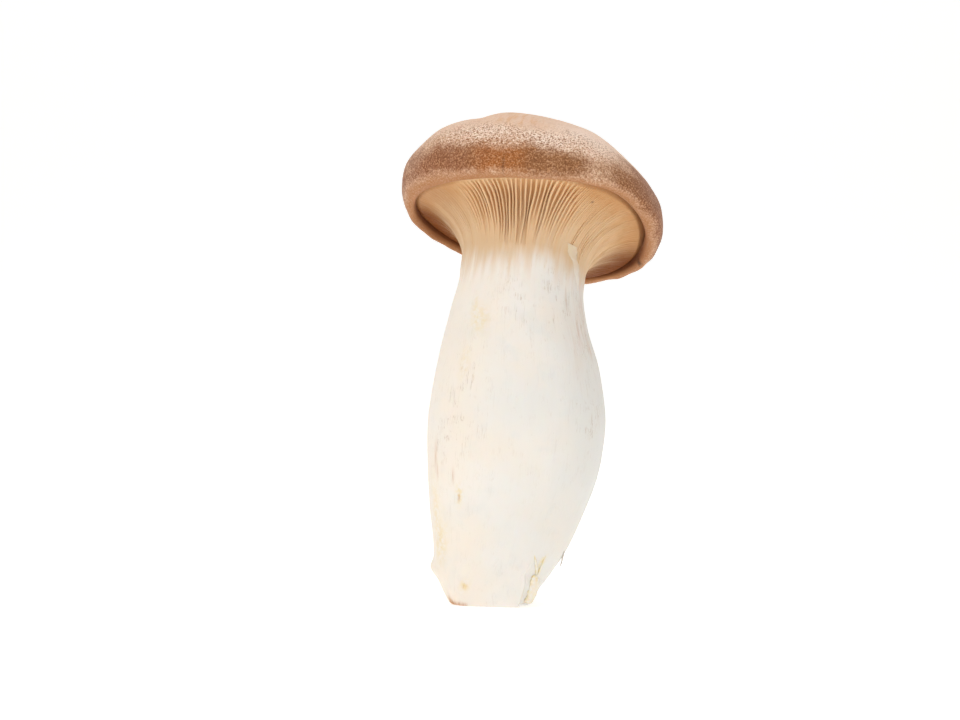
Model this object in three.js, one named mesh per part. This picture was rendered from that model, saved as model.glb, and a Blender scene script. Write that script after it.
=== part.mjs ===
import * as THREE from 'three';

// A king oyster mushroom that stands on its cut foot, in millimetres, +Z up.
// The origin is on the flat cut face of the foot, +X points right and +Y to the back.
// It is one fruit body: a stout stem, a cap tilted back with an inrolled margin, and gills
// that stand out of the cap's underside and run down onto the stem.
// Every angle goes round the mushroom from +X (right) by way of +Y (back).

// Cap: the middle of the plane that the gill edges meet the margin in, and its lean
const CAP_CENTRE = new THREE.Vector3(8.8, 8.0, 106.0);
const CAP_TILT_BACK = THREE.MathUtils.degToRad(21.5);
const CAP_TILT_RIGHT = THREE.MathUtils.degToRad(7.0);
const RIM_RADIUS = 32.9;
const CAP_RADIUS = 37.6;
const WIDEST_HEIGHT = 4.4;
const CROWN_HEIGHT = 29.2;
const CROWN_POWER_LEFT = 1.88;
const CROWN_POWER_RIGHT = 1.79;

// The outlines aren't quite round and wave up and down: how many lobes, how large, and
// towards which angle. Radii take a share of themselves, and heights take millimetres
const RIM_LOBES = [{ lobes: 2, size: 0.011, towards: 0.85 }, { lobes: 3, size: 0.034, towards: 0.92 }];
const CAP_LOBES = [{ lobes: 2, size: 0.034, towards: 0.72 }, { lobes: 3, size: 0.022, towards: 1.18 }];
const RIM_WAVES = [{ lobes: 2, size: 1.66, towards: -0.36 }];
const CAP_WAVES = [{ lobes: 1, size: 1.09, towards: 2.83 }, { lobes: 2, size: 0.81, towards: 0.9 }];

// Inrolled margin: how far it hangs below the rim, how far out its lowest line is,
// and the groove between its inner edge and the ends of the gills
const MARGIN_DROP = 1.2;
const MARGIN_LOWEST_SHARE = 0.35;
const GROOVE_DEPTH = 1.0;

// Neck, where the stem spreads into the underside of the cap
const NECK_DROP = 13.0;
const NECK_SHIFT = -0.7;
const NECK_HALF_WIDTH = 17.6;
const NECK_HALF_DEPTH = 17.4;
const FLARE_POWER = 1.7;

// Stem: the height and middle of each section, its half width and half depth, the share of
// the cap's tilt that the section has turned by, and the power of its squared-off outline
const STEM_STATIONS = [
  { z: 0, x: 0.0, y: 0.6, halfWidth: 11.2, halfDepth: 12.0, turn: 0, power: 4.2 },
  { z: 4, x: 0.1, y: 0.5, halfWidth: 13.5, halfDepth: 13.8, turn: 0, power: 3.2 },
  { z: 9, x: 0.9, y: 0.3, halfWidth: 16.4, halfDepth: 16.0, turn: 0, power: 2.45 },
  { z: 16, x: 2.7, y: 0.0, halfWidth: 18.9, halfDepth: 18.0, turn: 0, power: 2.1 },
  { z: 26, x: 4.1, y: -0.4, halfWidth: 21.5, halfDepth: 20.2, turn: 0, power: 2 },
  { z: 38, x: 5.5, y: -0.8, halfWidth: 24.0, halfDepth: 22.4, turn: 0.02, power: 2 },
  { z: 52, x: 6.0, y: -1.0, halfWidth: 24.7, halfDepth: 23.2, turn: 0.1, power: 2 },
  { z: 66, x: 5.95, y: -0.6, halfWidth: 22.7, halfDepth: 21.6, turn: 0.3, power: 2 },
  { z: 78, x: 5.6, y: 0.3, halfWidth: 19.6, halfDepth: 19.0, turn: 0.6, power: 2 },
  { z: 87, x: 5.9, y: 1.5, halfWidth: 17.8, halfDepth: 17.5, turn: 0.85, power: 2 },
];

// Low swellings and hollows of the stem: where they are, how wide and high, and their lift
const STEM_USUAL_RADIUS = 20;
const STEM_SWELLINGS = [
  { angle: 3.25, z: 10.5, width: 3.2, height: 2.4, lift: 1.3 },
  { angle: 4.5, z: 62, width: 7, height: 14, lift: -0.35 },
  { angle: 5.6, z: 40, width: 6, height: 16, lift: 0.4 },
  { angle: 3.9, z: 33, width: 5, height: 12, lift: 0.35 },
  { angle: 1.4, z: 48, width: 8, height: 18, lift: -0.45 },
  { angle: 0.4, z: 70, width: 7, height: 10, lift: 0.4 },
  { angle: 2.3, z: 22, width: 6, height: 9, lift: 0.5 },
];

// Gills: blades that reach down to the flare's surface, with the flesh cut away between.
// They start on the stem, each at its own place, and rise over a length of the wall
const GILL_COUNT = 72;
const GILL_EDGE_THICKNESS = 0.7;
const GILL_ROOT_THICKNESS = 0.9;
const GILL_DEPTH = 3.2;
const GILL_DEPTH_AT_RIM = 1.3;
const GILL_RUN_DOWN = 0.5;
const GILL_START_SPREAD = 0.45;
const GILL_RISE = 0.85;
const GILL_SHALLOW_FROM = 0.62;
const GILL_SEED = 11;

// Rows of the mesh. Below zero a gill row is on the stem, and above it on the flare
const COLUMNS = 72;
const STEM_ROWS = 19;
const GILL_ROWS = [-0.4, 0, 0.13, 0.28, 0.46, 0.64, 0.81, 0.95];
const MARGIN_INNER_ROWS = 3;
const MARGIN_OUTER_ROWS = 5;
const CROWN_ROWS = 9;

// How far apart the wall is read, in angle and along it, to find which way it faces
const NORMAL_STEP = 0.02;

const MUSHROOM = new THREE.MeshStandardMaterial({ color: 0xe9dccb, roughness: 0.62, metalness: 0 });

// A repeatable draw between 0 and 1 for each whole number
function draw(number, seed) {
  const wave = Math.sin(number * 12.9898 + seed * 78.233) * 43758.5453;
  return wave - Math.floor(wave);
}

function smoothStep(low, high, value) {
  const share = THREE.MathUtils.clamp((value - low) / (high - low), 0, 1);
  return share * share * (3 - 2 * share);
}

// The frame of a section that has turned by a share of the cap's tilt: right, back and up
function turnedFrame(turn) {
  const back = CAP_TILT_BACK * turn;
  const right = CAP_TILT_RIGHT * turn;
  const up = new THREE.Vector3(
    Math.sin(right),
    Math.sin(back) * Math.cos(right),
    Math.cos(back) * Math.cos(right),
  );
  const across = new THREE.Vector3(1, 0, 0).addScaledVector(up, -up.x).normalize();
  const behind = new THREE.Vector3().crossVectors(up, across);
  return { across, behind, up };
}

const CAP_FRAME = turnedFrame(1);

function placed(middle, frame, x, y, z) {
  return middle.clone()
    .addScaledVector(frame.across, x)
    .addScaledVector(frame.behind, y)
    .addScaledVector(frame.up, z);
}

function neckStation() {
  const middle = placed(CAP_CENTRE, CAP_FRAME, NECK_SHIFT, 0, -NECK_DROP);
  return {
    z: middle.z,
    x: middle.x,
    y: middle.y,
    halfWidth: NECK_HALF_WIDTH,
    halfDepth: NECK_HALF_DEPTH,
    turn: 1,
    power: 2,
  };
}

const STATIONS = [...STEM_STATIONS, neckStation()];
const LAST_STATION = STATIONS.length - 1;

// A smooth curve through the stations, by the place along them
function stationAt(place) {
  const index = Math.min(Math.floor(place), LAST_STATION - 1);
  const share = place - index;
  const near = [-1, 0, 1, 2].map((step) => (
    STATIONS[THREE.MathUtils.clamp(index + step, 0, LAST_STATION)]
  ));
  const result = {};
  for (const key of Object.keys(STATIONS[0])) {
    const [a, b, c, d] = near.map((station) => station[key]);
    const slope = (c - a) * share;
    const bend = (2 * a - 5 * b + 4 * c - d) * share ** 2;
    const twist = (3 * b - a - 3 * c + d) * share ** 3;
    result[key] = 0.5 * (2 * b + slope + bend + twist);
  }
  return result;
}

function angleBetween(a, b) {
  return Math.abs(THREE.MathUtils.euclideanModulo(a - b + Math.PI, 2 * Math.PI) - Math.PI);
}

function stemSwelling(angle, z) {
  let lift = 0;
  for (const place of STEM_SWELLINGS) {
    const sideways = angleBetween(angle, place.angle) * STEM_USUAL_RADIUS / place.width;
    const upwards = (z - place.z) / place.height;
    lift += place.lift * Math.exp(-(sideways ** 2) - upwards ** 2);
  }
  return lift;
}

function stemPoint(angle, place) {
  const station = stationAt(place);
  const middle = new THREE.Vector3(station.x, station.y, station.z);
  const cos = Math.cos(angle);
  const sin = Math.sin(angle);
  const exponent = 2 / station.power;
  const lift = stemSwelling(angle, station.z);
  const x = Math.sign(cos) * Math.abs(cos) ** exponent * station.halfWidth + lift * cos;
  const y = Math.sign(sin) * Math.abs(sin) ** exponent * station.halfDepth + lift * sin;
  return placed(middle, turnedFrame(station.turn), x, y, 0);
}

function lobeSum(lobes, angle) {
  return lobes.reduce((sum, lobe) => sum + lobe.size * Math.cos(lobe.lobes * (angle - lobe.towards)), 0);
}

const rimRadius = (angle) => RIM_RADIUS * (1 + lobeSum(RIM_LOBES, angle));
const rimWave = (angle) => lobeSum(RIM_WAVES, angle);
const capRadius = (angle) => CAP_RADIUS * (1 + lobeSum(CAP_LOBES, angle));
const capWave = (angle) => lobeSum(CAP_WAVES, angle);

function capPoint(angle, radius, height) {
  return placed(CAP_CENTRE, CAP_FRAME, radius * Math.cos(angle), radius * Math.sin(angle), height);
}

// The trumpet-shaped surface of the gill edges, from the neck (0) to the rim (1)
function flarePoint(angle, share) {
  const turn = share * Math.PI / 2;
  const outShare = 1 - Math.max(Math.cos(turn), 0) ** (2 / FLARE_POWER);
  const upShare = Math.sin(turn) ** (2 / FLARE_POWER);
  const neckX = NECK_HALF_WIDTH * Math.cos(angle) + NECK_SHIFT;
  const neckY = NECK_HALF_DEPTH * Math.sin(angle);
  const rimX = rimRadius(angle) * Math.cos(angle);
  const rimY = rimRadius(angle) * Math.sin(angle);
  const x = THREE.MathUtils.lerp(neckX, rimX, outShare);
  const y = THREE.MathUtils.lerp(neckY, rimY, outShare);
  const z = THREE.MathUtils.lerp(-NECK_DROP, rimWave(angle), upShare);
  return placed(CAP_CENTRE, CAP_FRAME, x, y, z);
}

// The stem and the flare as one surface: below 0 it runs down the stem by stations
function wallPoint(angle, along) {
  if (along <= 0) {
    return stemPoint(angle, LAST_STATION + along);
  }
  return flarePoint(angle, along);
}

function ringMiddle(along) {
  return wallPoint(0, along).add(wallPoint(Math.PI, along)).multiplyScalar(0.5);
}

function inwardNormal(angle, along) {
  const forward = wallPoint(angle, along + NORMAL_STEP).sub(wallPoint(angle, along - NORMAL_STEP));
  const sideways = wallPoint(angle + NORMAL_STEP, along).sub(wallPoint(angle - NORMAL_STEP, along));
  return forward.cross(sideways).normalize();
}

// How deep the flesh is cut away beside a gill. Each gill fades out at its own height
function gillDepth(gill, along) {
  const start = -GILL_RUN_DOWN + GILL_START_SPREAD * draw(gill, GILL_SEED);
  const rise = smoothStep(start, start + GILL_RISE, along);
  const atRim = smoothStep(GILL_SHALLOW_FROM, 1, along);
  return rise * THREE.MathUtils.lerp(GILL_DEPTH, GILL_DEPTH_AT_RIM, atRim);
}

function gillRing(along) {
  const ring = [];
  const pitch = 2 * Math.PI / GILL_COUNT;
  for (let gill = 0; gill < GILL_COUNT; gill += 1) {
    const middle = gill * pitch;
    const radius = wallPoint(middle, along).sub(ringMiddle(along)).length();
    const edge = GILL_EDGE_THICKNESS / 2 / radius;
    const root = GILL_ROOT_THICKNESS / 2 / radius;
    const depth = gillDepth(gill, along);
    const columns = [
      [middle - edge, 0],
      [middle + edge, 0],
      [middle + root, depth],
      [middle + pitch - root, depth],
    ];
    for (const [angle, sunk] of columns) {
      const point = wallPoint(angle, along).addScaledVector(inwardNormal(angle, along), sunk);
      ring.push({ angle, point });
    }
  }
  return ring;
}

function plainRing(pointAt) {
  const ring = [];
  for (let column = 0; column < COLUMNS; column += 1) {
    const angle = column * 2 * Math.PI / COLUMNS;
    ring.push({ angle, point: pointAt(angle) });
  }
  return ring;
}

function stemRings() {
  const rings = [];
  const top = LAST_STATION - GILL_RUN_DOWN;
  for (let row = 0; row <= STEM_ROWS; row += 1) {
    const place = top * row / STEM_ROWS;
    rings.push(plainRing((angle) => stemPoint(angle, place)));
  }
  return rings;
}

// The inrolled margin, from the groove round its lowest line and out to the widest line
function marginRings() {
  const rings = [];
  const lowest = (angle) => ({
    radius: THREE.MathUtils.lerp(rimRadius(angle), capRadius(angle), MARGIN_LOWEST_SHARE),
    height: THREE.MathUtils.lerp(rimWave(angle), capWave(angle), MARGIN_LOWEST_SHARE) - MARGIN_DROP,
  });
  for (let row = 0; row <= MARGIN_INNER_ROWS; row += 1) {
    const turn = row / MARGIN_INNER_ROWS * Math.PI / 2;
    rings.push(plainRing((angle) => {
      const low = lowest(angle);
      const top = rimWave(angle) + GROOVE_DEPTH;
      const radius = low.radius - (low.radius - rimRadius(angle)) * Math.cos(turn);
      const height = top + (low.height - top) * Math.sin(turn);
      return capPoint(angle, radius, height);
    }));
  }
  for (let row = 1; row <= MARGIN_OUTER_ROWS; row += 1) {
    const turn = row / MARGIN_OUTER_ROWS * Math.PI / 2;
    rings.push(plainRing((angle) => {
      const low = lowest(angle);
      const widest = WIDEST_HEIGHT + capWave(angle);
      const radius = low.radius + (capRadius(angle) - low.radius) * Math.sin(turn);
      const height = widest - (widest - low.height) * Math.cos(turn);
      return capPoint(angle, radius, height);
    }));
  }
  return rings;
}

function crownRings() {
  const rings = [];
  for (let row = 1; row < CROWN_ROWS; row += 1) {
    const turn = row / CROWN_ROWS * Math.PI / 2;
    rings.push(plainRing((angle) => {
      const rightShare = (1 + Math.cos(angle)) / 2;
      const power = THREE.MathUtils.lerp(CROWN_POWER_LEFT, CROWN_POWER_RIGHT, rightShare);
      const inShare = Math.cos(turn) ** (2 / power);
      const upShare = Math.sin(turn) ** (2 / power);
      const height = THREE.MathUtils.lerp(WIDEST_HEIGHT, CROWN_HEIGHT, upShare);
      return capPoint(angle, capRadius(angle) * inShare, height + capWave(angle) * inShare);
    }));
  }
  return rings;
}

// Joins rings of any number of points into one closed skin
class Skin {
  constructor() {
    this.positions = [];
    this.triangles = [];
  }

  addPoint(point) {
    this.positions.push(point.x, point.y, point.z);
    return this.positions.length / 3 - 1;
  }

  addRing(ring) {
    return ring.map(({ angle, point }) => ({ angle, index: this.addPoint(point) }));
  }

  // Walks round both rings and always steps on the one that is behind
  join(lower, upper) {
    const at = (ring, step) => {
      const laps = Math.floor(step / ring.length);
      const { angle, index } = ring[step % ring.length];
      return { angle: angle + laps * 2 * Math.PI, index };
    };
    let low = 0;
    let high = 0;
    while (low < lower.length || high < upper.length) {
      const lowNext = at(lower, low + 1).angle;
      const highNext = at(upper, high + 1).angle;
      const lowStep = high >= upper.length || (low < lower.length && lowNext <= highNext);
      if (lowStep) {
        this.triangles.push(at(lower, low).index, at(lower, low + 1).index, at(upper, high).index);
        low += 1;
      } else {
        this.triangles.push(at(lower, low).index, at(upper, high + 1).index, at(upper, high).index);
        high += 1;
      }
    }
  }

  // Closes a ring with a fan to one point, facing down or up
  close(ring, point, facesDown) {
    const middle = this.addPoint(point);
    ring.forEach(({ index }, step) => {
      const next = ring[(step + 1) % ring.length].index;
      this.triangles.push(middle, facesDown ? next : index, facesDown ? index : next);
    });
  }

  geometry() {
    const geometry = new THREE.BufferGeometry();
    geometry.setAttribute('position', new THREE.Float32BufferAttribute(this.positions, 3));
    geometry.setIndex(this.triangles);
    geometry.computeVertexNormals();
    return geometry;
  }
}

function mushroomGeometry() {
  const skin = new Skin();
  const rings = [
    ...stemRings(),
    ...GILL_ROWS.map(gillRing),
    ...marginRings(),
    ...crownRings(),
  ].map((ring) => skin.addRing(ring));
  for (let row = 1; row < rings.length; row += 1) {
    skin.join(rings[row - 1], rings[row]);
  }
  skin.close(rings[0], new THREE.Vector3(0, 0, 0), true);
  skin.close(rings[rings.length - 1], capPoint(0, 0, CROWN_HEIGHT), false);
  return skin.geometry();
}

const mushroom = new THREE.Mesh(mushroomGeometry(), MUSHROOM);
mushroom.name = 'king_oyster_mushroom';

const part = new THREE.Group();
part.add(mushroom);

export default part;
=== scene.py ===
from math import pi, radians

import bpy
import numpy as np
from mathutils import Matrix, Vector


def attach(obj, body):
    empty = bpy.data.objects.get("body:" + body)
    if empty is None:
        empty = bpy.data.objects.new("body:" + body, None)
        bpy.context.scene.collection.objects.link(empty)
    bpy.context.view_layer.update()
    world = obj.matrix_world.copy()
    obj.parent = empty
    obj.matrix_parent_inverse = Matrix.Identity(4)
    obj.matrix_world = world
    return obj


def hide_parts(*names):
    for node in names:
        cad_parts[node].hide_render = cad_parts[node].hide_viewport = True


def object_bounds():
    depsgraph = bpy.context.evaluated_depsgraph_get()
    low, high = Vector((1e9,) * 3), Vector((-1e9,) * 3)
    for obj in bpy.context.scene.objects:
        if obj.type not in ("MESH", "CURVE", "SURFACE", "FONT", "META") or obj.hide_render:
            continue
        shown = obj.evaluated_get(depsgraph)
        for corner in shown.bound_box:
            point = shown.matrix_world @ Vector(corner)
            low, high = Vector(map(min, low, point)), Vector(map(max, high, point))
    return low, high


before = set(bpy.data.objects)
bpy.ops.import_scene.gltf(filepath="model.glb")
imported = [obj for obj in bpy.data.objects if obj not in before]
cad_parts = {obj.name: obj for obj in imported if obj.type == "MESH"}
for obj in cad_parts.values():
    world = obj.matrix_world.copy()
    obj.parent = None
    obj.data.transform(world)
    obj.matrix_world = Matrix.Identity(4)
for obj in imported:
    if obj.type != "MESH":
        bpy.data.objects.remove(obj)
CAD_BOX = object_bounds()

# A king oyster mushroom that stands on its cut foot. Lengths are in millimetres until a
# mesh is made. +Z is up, +X right and +Y back. An angle goes round the mushroom from +X
# by way of +Y, so the front is at three quarters of a turn.
MM = 0.001
NODE = "king_oyster_mushroom"
BODY = "root"

# Cap
CAP_CENTRE = np.array([8.8, 8.0, 106.0])
CAP_TILT_BACK = radians(21.5)
CAP_TILT_RIGHT = radians(7.0)
RIM_RADIUS = 32.9
CAP_RADIUS = 37.6
WIDEST_HEIGHT = 4.4
CROWN_HEIGHT = 29.2
CROWN_POWER_LEFT = 1.88
CROWN_POWER_RIGHT = 1.79

# Lobes and waves of its outlines: how many, how large, and towards which angle
RIM_LOBES = [(2, 0.011, 0.85), (3, 0.034, 0.92)]
CAP_LOBES = [(2, 0.034, 0.72), (3, 0.022, 1.18)]
RIM_WAVES = [(2, 1.66, -0.36)]
CAP_WAVES = [(1, 1.09, 2.83), (2, 0.81, 0.9)]

# Inrolled margin
MARGIN_DROP = 1.2
MARGIN_LOWEST_SHARE = 0.35
GROOVE_DEPTH = 1.0
# Towards which angle, how far round and by what share the groove's depth changes
GROOVE_CHANGES = [(5.85, 0.55, 0.85), (3.1, 0.5, -0.4), (4.4, 0.6, -0.45)]
# Towards which angle, how far round and by how much the lip lifts off the gills or droops
LIP_BENDS = [(5.36, 0.4, 2.0), (2.8, 0.5, -0.7), (0.35, 0.45, -0.9)]

# Neck
NECK_DROP = 13.0
NECK_SHIFT = -0.7
NECK_HALF_WIDTH = 17.6
NECK_HALF_DEPTH = 17.4
FLARE_POWER = 1.7

# Stem sections: height, middle x and y, half width, half depth, share of the cap's tilt,
# and power of the squared-off outline
STEM_STATIONS = [
    (0, 0.0, 0.6, 11.2, 12.0, 0, 4.2),
    (4, 0.1, 0.5, 13.5, 13.8, 0, 3.2),
    (9, 0.9, 0.3, 16.4, 16.0, 0, 2.45),
    (16, 2.7, 0.0, 18.9, 18.0, 0, 2.1),
    (26, 4.1, -0.4, 21.5, 20.2, 0, 2),
    (38, 5.5, -0.8, 24.0, 22.4, 0.02, 2),
    (52, 6.0, -1.0, 24.7, 23.2, 0.1, 2),
    (66, 5.95, -0.6, 22.7, 21.6, 0.3, 2),
    (78, 5.6, 0.3, 19.6, 19.0, 0.6, 2),
    (87, 5.9, 1.5, 17.8, 17.5, 0.85, 2),
]

# Swellings and hollows of the stem: angle, height, half width, half height, lift
STEM_USUAL_RADIUS = 20
STEM_SWELLINGS = [
    (3.25, 9.3, 3.2, 2.1, 1.2),
    (4.5, 62, 7, 14, -0.35),
    (5.6, 40, 6, 16, 0.4),
    (3.9, 33, 5, 12, 0.35),
    (1.4, 48, 8, 18, -0.45),
    (0.4, 70, 7, 10, 0.4),
    (2.3, 22, 6, 9, 0.5),
]
FOOT_ROUNDING = 0.5
# How far the fine skin stays inside the box of the plain form
BOX_GAP = 0.02

# Gills: full blades, and shorter ones between them
FRONT_ANGLE = 4.6
FULL_GILLS = 72
GILL_DEPTH = 3.2
GILL_DEPTH_AT_RIM = 1.3
GILL_RUN_DOWN = 0.5
GILL_START_SPREAD = 0.45
GILL_RISE = 0.85
GILL_SHALLOW_FROM = 0.62
# Rounds of smoothing of the bend at the neck
NECK_EASING = 14
# For each rank of blade: edge thickness, share of the spacing at the neck, how far its
# edge stays behind the full blades', and from where to where along the flare it begins
# in the open front and in the dense sides
GILL_RANKS = {
    "full": (0.42, 0.46, 0.0, None, None),
    "half": (0.34, 0.24, 0.18, (0.02, 0.45), (-0.2, 0.1)),
    "short": (0.34, 0.15, 0.4, (0.85, 1.6), (0.15, 0.45)),
}
# The ranks in order from one full blade to the next
BLADE_ORDER = ["full", "short", "half", "short"]
# Places along a blade at which it is moved sideways a little
BLADE_KNOTS = 6
# Share of the full depth that the fine blades between the full ones leave open
GILL_OPEN_SHARE = 0.36
GILL_DENSE_SHARE = 0.14

# Columns and rows of the meshes, and points on each blade's stretch of a row
STEM_COLUMNS, STEM_ROWS = 384, 244
GILL_ROWS = 80
POINTS_PER_BLADE = 4
CAP_COLUMNS, GROOVE_ROWS, MARGIN_ROWS, CROWN_ROWS = 576, 9, 28, 112
FLAKE_COLUMNS, FLAKE_ROWS = 48, 60
SHARP_ANGLE = radians(50)
# Samples along a curve from which evenly spaced rows are read off
STEM_SAMPLES = 1500
GILL_SAMPLES = 400


def smooth_step(low, high, value):
    share = np.clip((value - low) / (high - low), 0, 1)
    return share * share * (3 - 2 * share)


def angle_off(angle, towards):
    return (angle - towards + pi) % (2 * pi) - pi


def round_at(angle, towards, reach):
    """1 at an angle round the mushroom, and less the further from it."""
    return np.exp(-((angle_off(angle, towards) / reach) ** 2))


def lattice_draw(cell, seed):
    """A repeatable draw between 0 and 1 for each cell of a lattice."""
    x, y, z = (cell[..., axis] for axis in range(3))
    mixed = (x * 374761393 + y * 668265263 + z * 224682251 + seed * 326648991) & 0xFFFFFFFF
    mixed = ((mixed ^ (mixed >> 13)) * 1274126177) & 0xFFFFFFFF
    return ((mixed ^ (mixed >> 16)) & 0xFFFFFF) / 0xFFFFFF


def noise(points, size, layers=1, seed=0):
    """Smooth noise between about -1 and 1, whose largest lumps are `size` across."""
    total = 0.0
    for layer in range(layers):
        at = points / size * 2**layer + 512.0
        cell = np.floor(at).astype(np.int64)
        share = at - cell
        share = share * share * (3 - 2 * share)
        value = 0.0
        for corner in np.ndindex(2, 2, 2):
            weight = np.prod(np.where(np.array(corner) == 1, share, 1 - share), axis=-1)
            value = value + weight * lattice_draw(cell + np.array(corner), seed + layer)
        total = total + (2 * value - 1) * 0.5**layer
    return total


def lobe_sum(lobes, angle):
    return sum(size * np.cos(count * (angle - towards)) for count, size, towards in lobes)


def rim_radius(angle):
    return RIM_RADIUS * (1 + lobe_sum(RIM_LOBES, angle))


def cap_radius(angle):
    return CAP_RADIUS * (1 + lobe_sum(CAP_LOBES, angle))


def turned_frame(turn):
    """Right, back and up of a section that has turned by a share of the cap's tilt."""
    back = CAP_TILT_BACK * np.asarray(turn, float)
    right = CAP_TILT_RIGHT * np.asarray(turn, float)
    up = np.stack([np.sin(right), np.sin(back) * np.cos(right), np.cos(back) * np.cos(right)], -1)
    across = np.array([1.0, 0, 0]) - up * up[..., :1]
    across = across / np.linalg.norm(across, axis=-1, keepdims=True)
    return across, np.cross(up, across), up


def in_frame(middle, axes, x, y, z):
    across, behind, up = axes
    x, y, z = (np.asarray(value, float)[..., None] for value in (x, y, z))
    return middle + across * x + behind * y + up * z


CAP_AXES = turned_frame(1)
NECK = in_frame(CAP_CENTRE, CAP_AXES, NECK_SHIFT, 0, -NECK_DROP)
STATIONS = np.array([
    *STEM_STATIONS,
    (NECK[2], NECK[0], NECK[1], NECK_HALF_WIDTH, NECK_HALF_DEPTH, 1, 2),
])
LAST_STATION = len(STATIONS) - 1


def station_at(place):
    """The section at a place along the stations, on a smooth curve through them."""
    place = np.asarray(place, float)
    index = np.clip(np.floor(place).astype(int), 0, LAST_STATION - 1)
    share = (place - index)[..., None]
    a, b, c, d = (STATIONS[np.clip(index + step, 0, LAST_STATION)] for step in (-1, 0, 1, 2))
    bend = (2 * a - 5 * b + 4 * c - d) * share**2
    twist = (3 * b - a - 3 * c + d) * share**3
    return np.moveaxis(0.5 * (2 * b + (c - a) * share + bend + twist), -1, 0)


def stem_swelling(angle, z):
    lift = 0.0
    for towards, height, half_width, half_height, size in STEM_SWELLINGS:
        sideways = angle_off(angle, towards) * STEM_USUAL_RADIUS / half_width
        upwards = (z - height) / half_height
        lift = lift + size * np.exp(-(sideways**2) - upwards**2)
    return lift


def stem_point(angle, place):
    z, x, y, half_width, half_depth, turn, power = station_at(place)
    cos, sin = np.cos(angle), np.sin(angle)
    lift = stem_swelling(angle, z)
    across = np.sign(cos) * np.abs(cos) ** (2 / power) * half_width + lift * cos
    behind = np.sign(sin) * np.abs(sin) ** (2 / power) * half_depth + lift * sin
    return in_frame(np.stack([x, y, z], -1), turned_frame(turn), across, behind, 0 * across)


def cap_point(angle, radius, height):
    return in_frame(CAP_CENTRE, CAP_AXES, radius * np.cos(angle), radius * np.sin(angle), height)


def flare_shares(share):
    turn = np.clip(share, 0, 1) * pi / 2
    out = 1 - np.maximum(np.cos(turn), 0) ** (2 / FLARE_POWER)
    up = np.sin(turn) ** (2 / FLARE_POWER)
    return out, up


def flare_point(angle, share):
    """The trumpet-shaped surface of the gill edges, from the neck (0) to the rim (1)."""
    out, up = flare_shares(share)
    neck_x = NECK_HALF_WIDTH * np.cos(angle) + NECK_SHIFT
    neck_y = NECK_HALF_DEPTH * np.sin(angle)
    x = neck_x + (rim_radius(angle) * np.cos(angle) - neck_x) * out
    y = neck_y + (rim_radius(angle) * np.sin(angle) - neck_y) * out
    z = -NECK_DROP + (lobe_sum(RIM_WAVES, angle) + NECK_DROP) * up
    return in_frame(CAP_CENTRE, CAP_AXES, x, y, z)


def wall_point(angle, along):
    """The stem and the flare as one surface. Below 0 it runs down the stem by stations."""
    angle, along = np.broadcast_arrays(np.asarray(angle, float), np.asarray(along, float))
    low = stem_point(angle, LAST_STATION + np.minimum(along, 0))
    high = flare_point(angle, along)
    return np.where((along <= 0)[..., None], low, high)


def wall_inward(angle, along, step=0.012):
    forward = wall_point(angle, np.minimum(along + step, 1)) - wall_point(angle, along - step)
    sideways = wall_point(angle + step, along) - wall_point(angle - step, along)
    inward = np.cross(forward, sideways)
    return inward / np.linalg.norm(inward, axis=-1, keepdims=True)


def groove_depth(angle):
    """The groove inside the margin is deepest at the right, and shallow in front."""
    change = sum(size * round_at(angle, towards, reach) for towards, reach, size in GROOVE_CHANGES)
    return GROOVE_DEPTH * (1 + change)


def stacked(x, y, z):
    return np.stack(np.broadcast_arrays(x, y, z), -1)


def unit(vectors):
    return vectors / np.maximum(np.linalg.norm(vectors, axis=-1, keepdims=True), 1e-9)


def grid_normals(points):
    """Outward normals of rings that run anticlockwise from above, stacked upwards."""
    around = np.roll(points, -1, 1) - np.roll(points, 1, 1)
    return unit(np.cross(around, np.gradient(points, axis=0)))


def path_lengths(points):
    steps = np.linalg.norm(np.diff(points, axis=0), axis=-1)
    return np.concatenate([np.zeros((1, points.shape[1])), np.cumsum(steps, axis=0)])


def closed_piece(name, rings, masks, bottom, top, material):
    """A closed skin of stacked rings with a middle point at each end, and its masks."""
    rows, columns = rings.shape[:2]
    points = np.concatenate([rings.reshape(-1, 3), [bottom, top]]) * MM
    low_corner = np.array(CAD_BOX[0]) + np.array([BOX_GAP, BOX_GAP, 0]) * MM
    high_corner = np.array(CAD_BOX[1]) - BOX_GAP * MM
    points = np.clip(points, low_corner, high_corner)
    index = np.arange(rows * columns).reshape(rows, columns)
    right = np.roll(index, -1, 1)
    quads = np.stack([index[:-1], right[:-1], right[1:], index[1:]], -1).reshape(-1, 4)
    low = np.stack([right[0], index[0], np.full(columns, rows * columns)], -1)
    high = np.stack([index[-1], right[-1], np.full(columns, rows * columns + 1)], -1)
    mesh = bpy.data.meshes.new(name)
    mesh.from_pydata(points.tolist(), [], [*quads.tolist(), *low.tolist(), *high.tolist()])
    piece = bpy.data.objects.new(name, mesh)
    bpy.context.scene.collection.objects.link(piece)
    mesh.polygons.foreach_set("use_smooth", np.ones(len(mesh.polygons), bool))
    mesh.set_sharp_from_angle(angle=SHARP_ANGLE)
    for label, values in masks.items():
        whole = np.broadcast_to(values, (rows, columns) + np.shape(values)[2:])
        ends = np.stack([whole[0].mean(0), whole[-1].mean(0)])
        flat = np.concatenate([whole.reshape(rows * columns, -1), ends.reshape(2, -1)])
        kind, field = ("FLOAT_VECTOR", "vector") if flat.shape[1] == 3 else ("FLOAT", "value")
        attribute = mesh.attributes.new(label, kind, "POINT")
        attribute.data.foreach_set(field, flat.astype(np.float32).ravel())
    mesh.materials.append(material)
    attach(piece, BODY)
    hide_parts(NODE)


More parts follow.
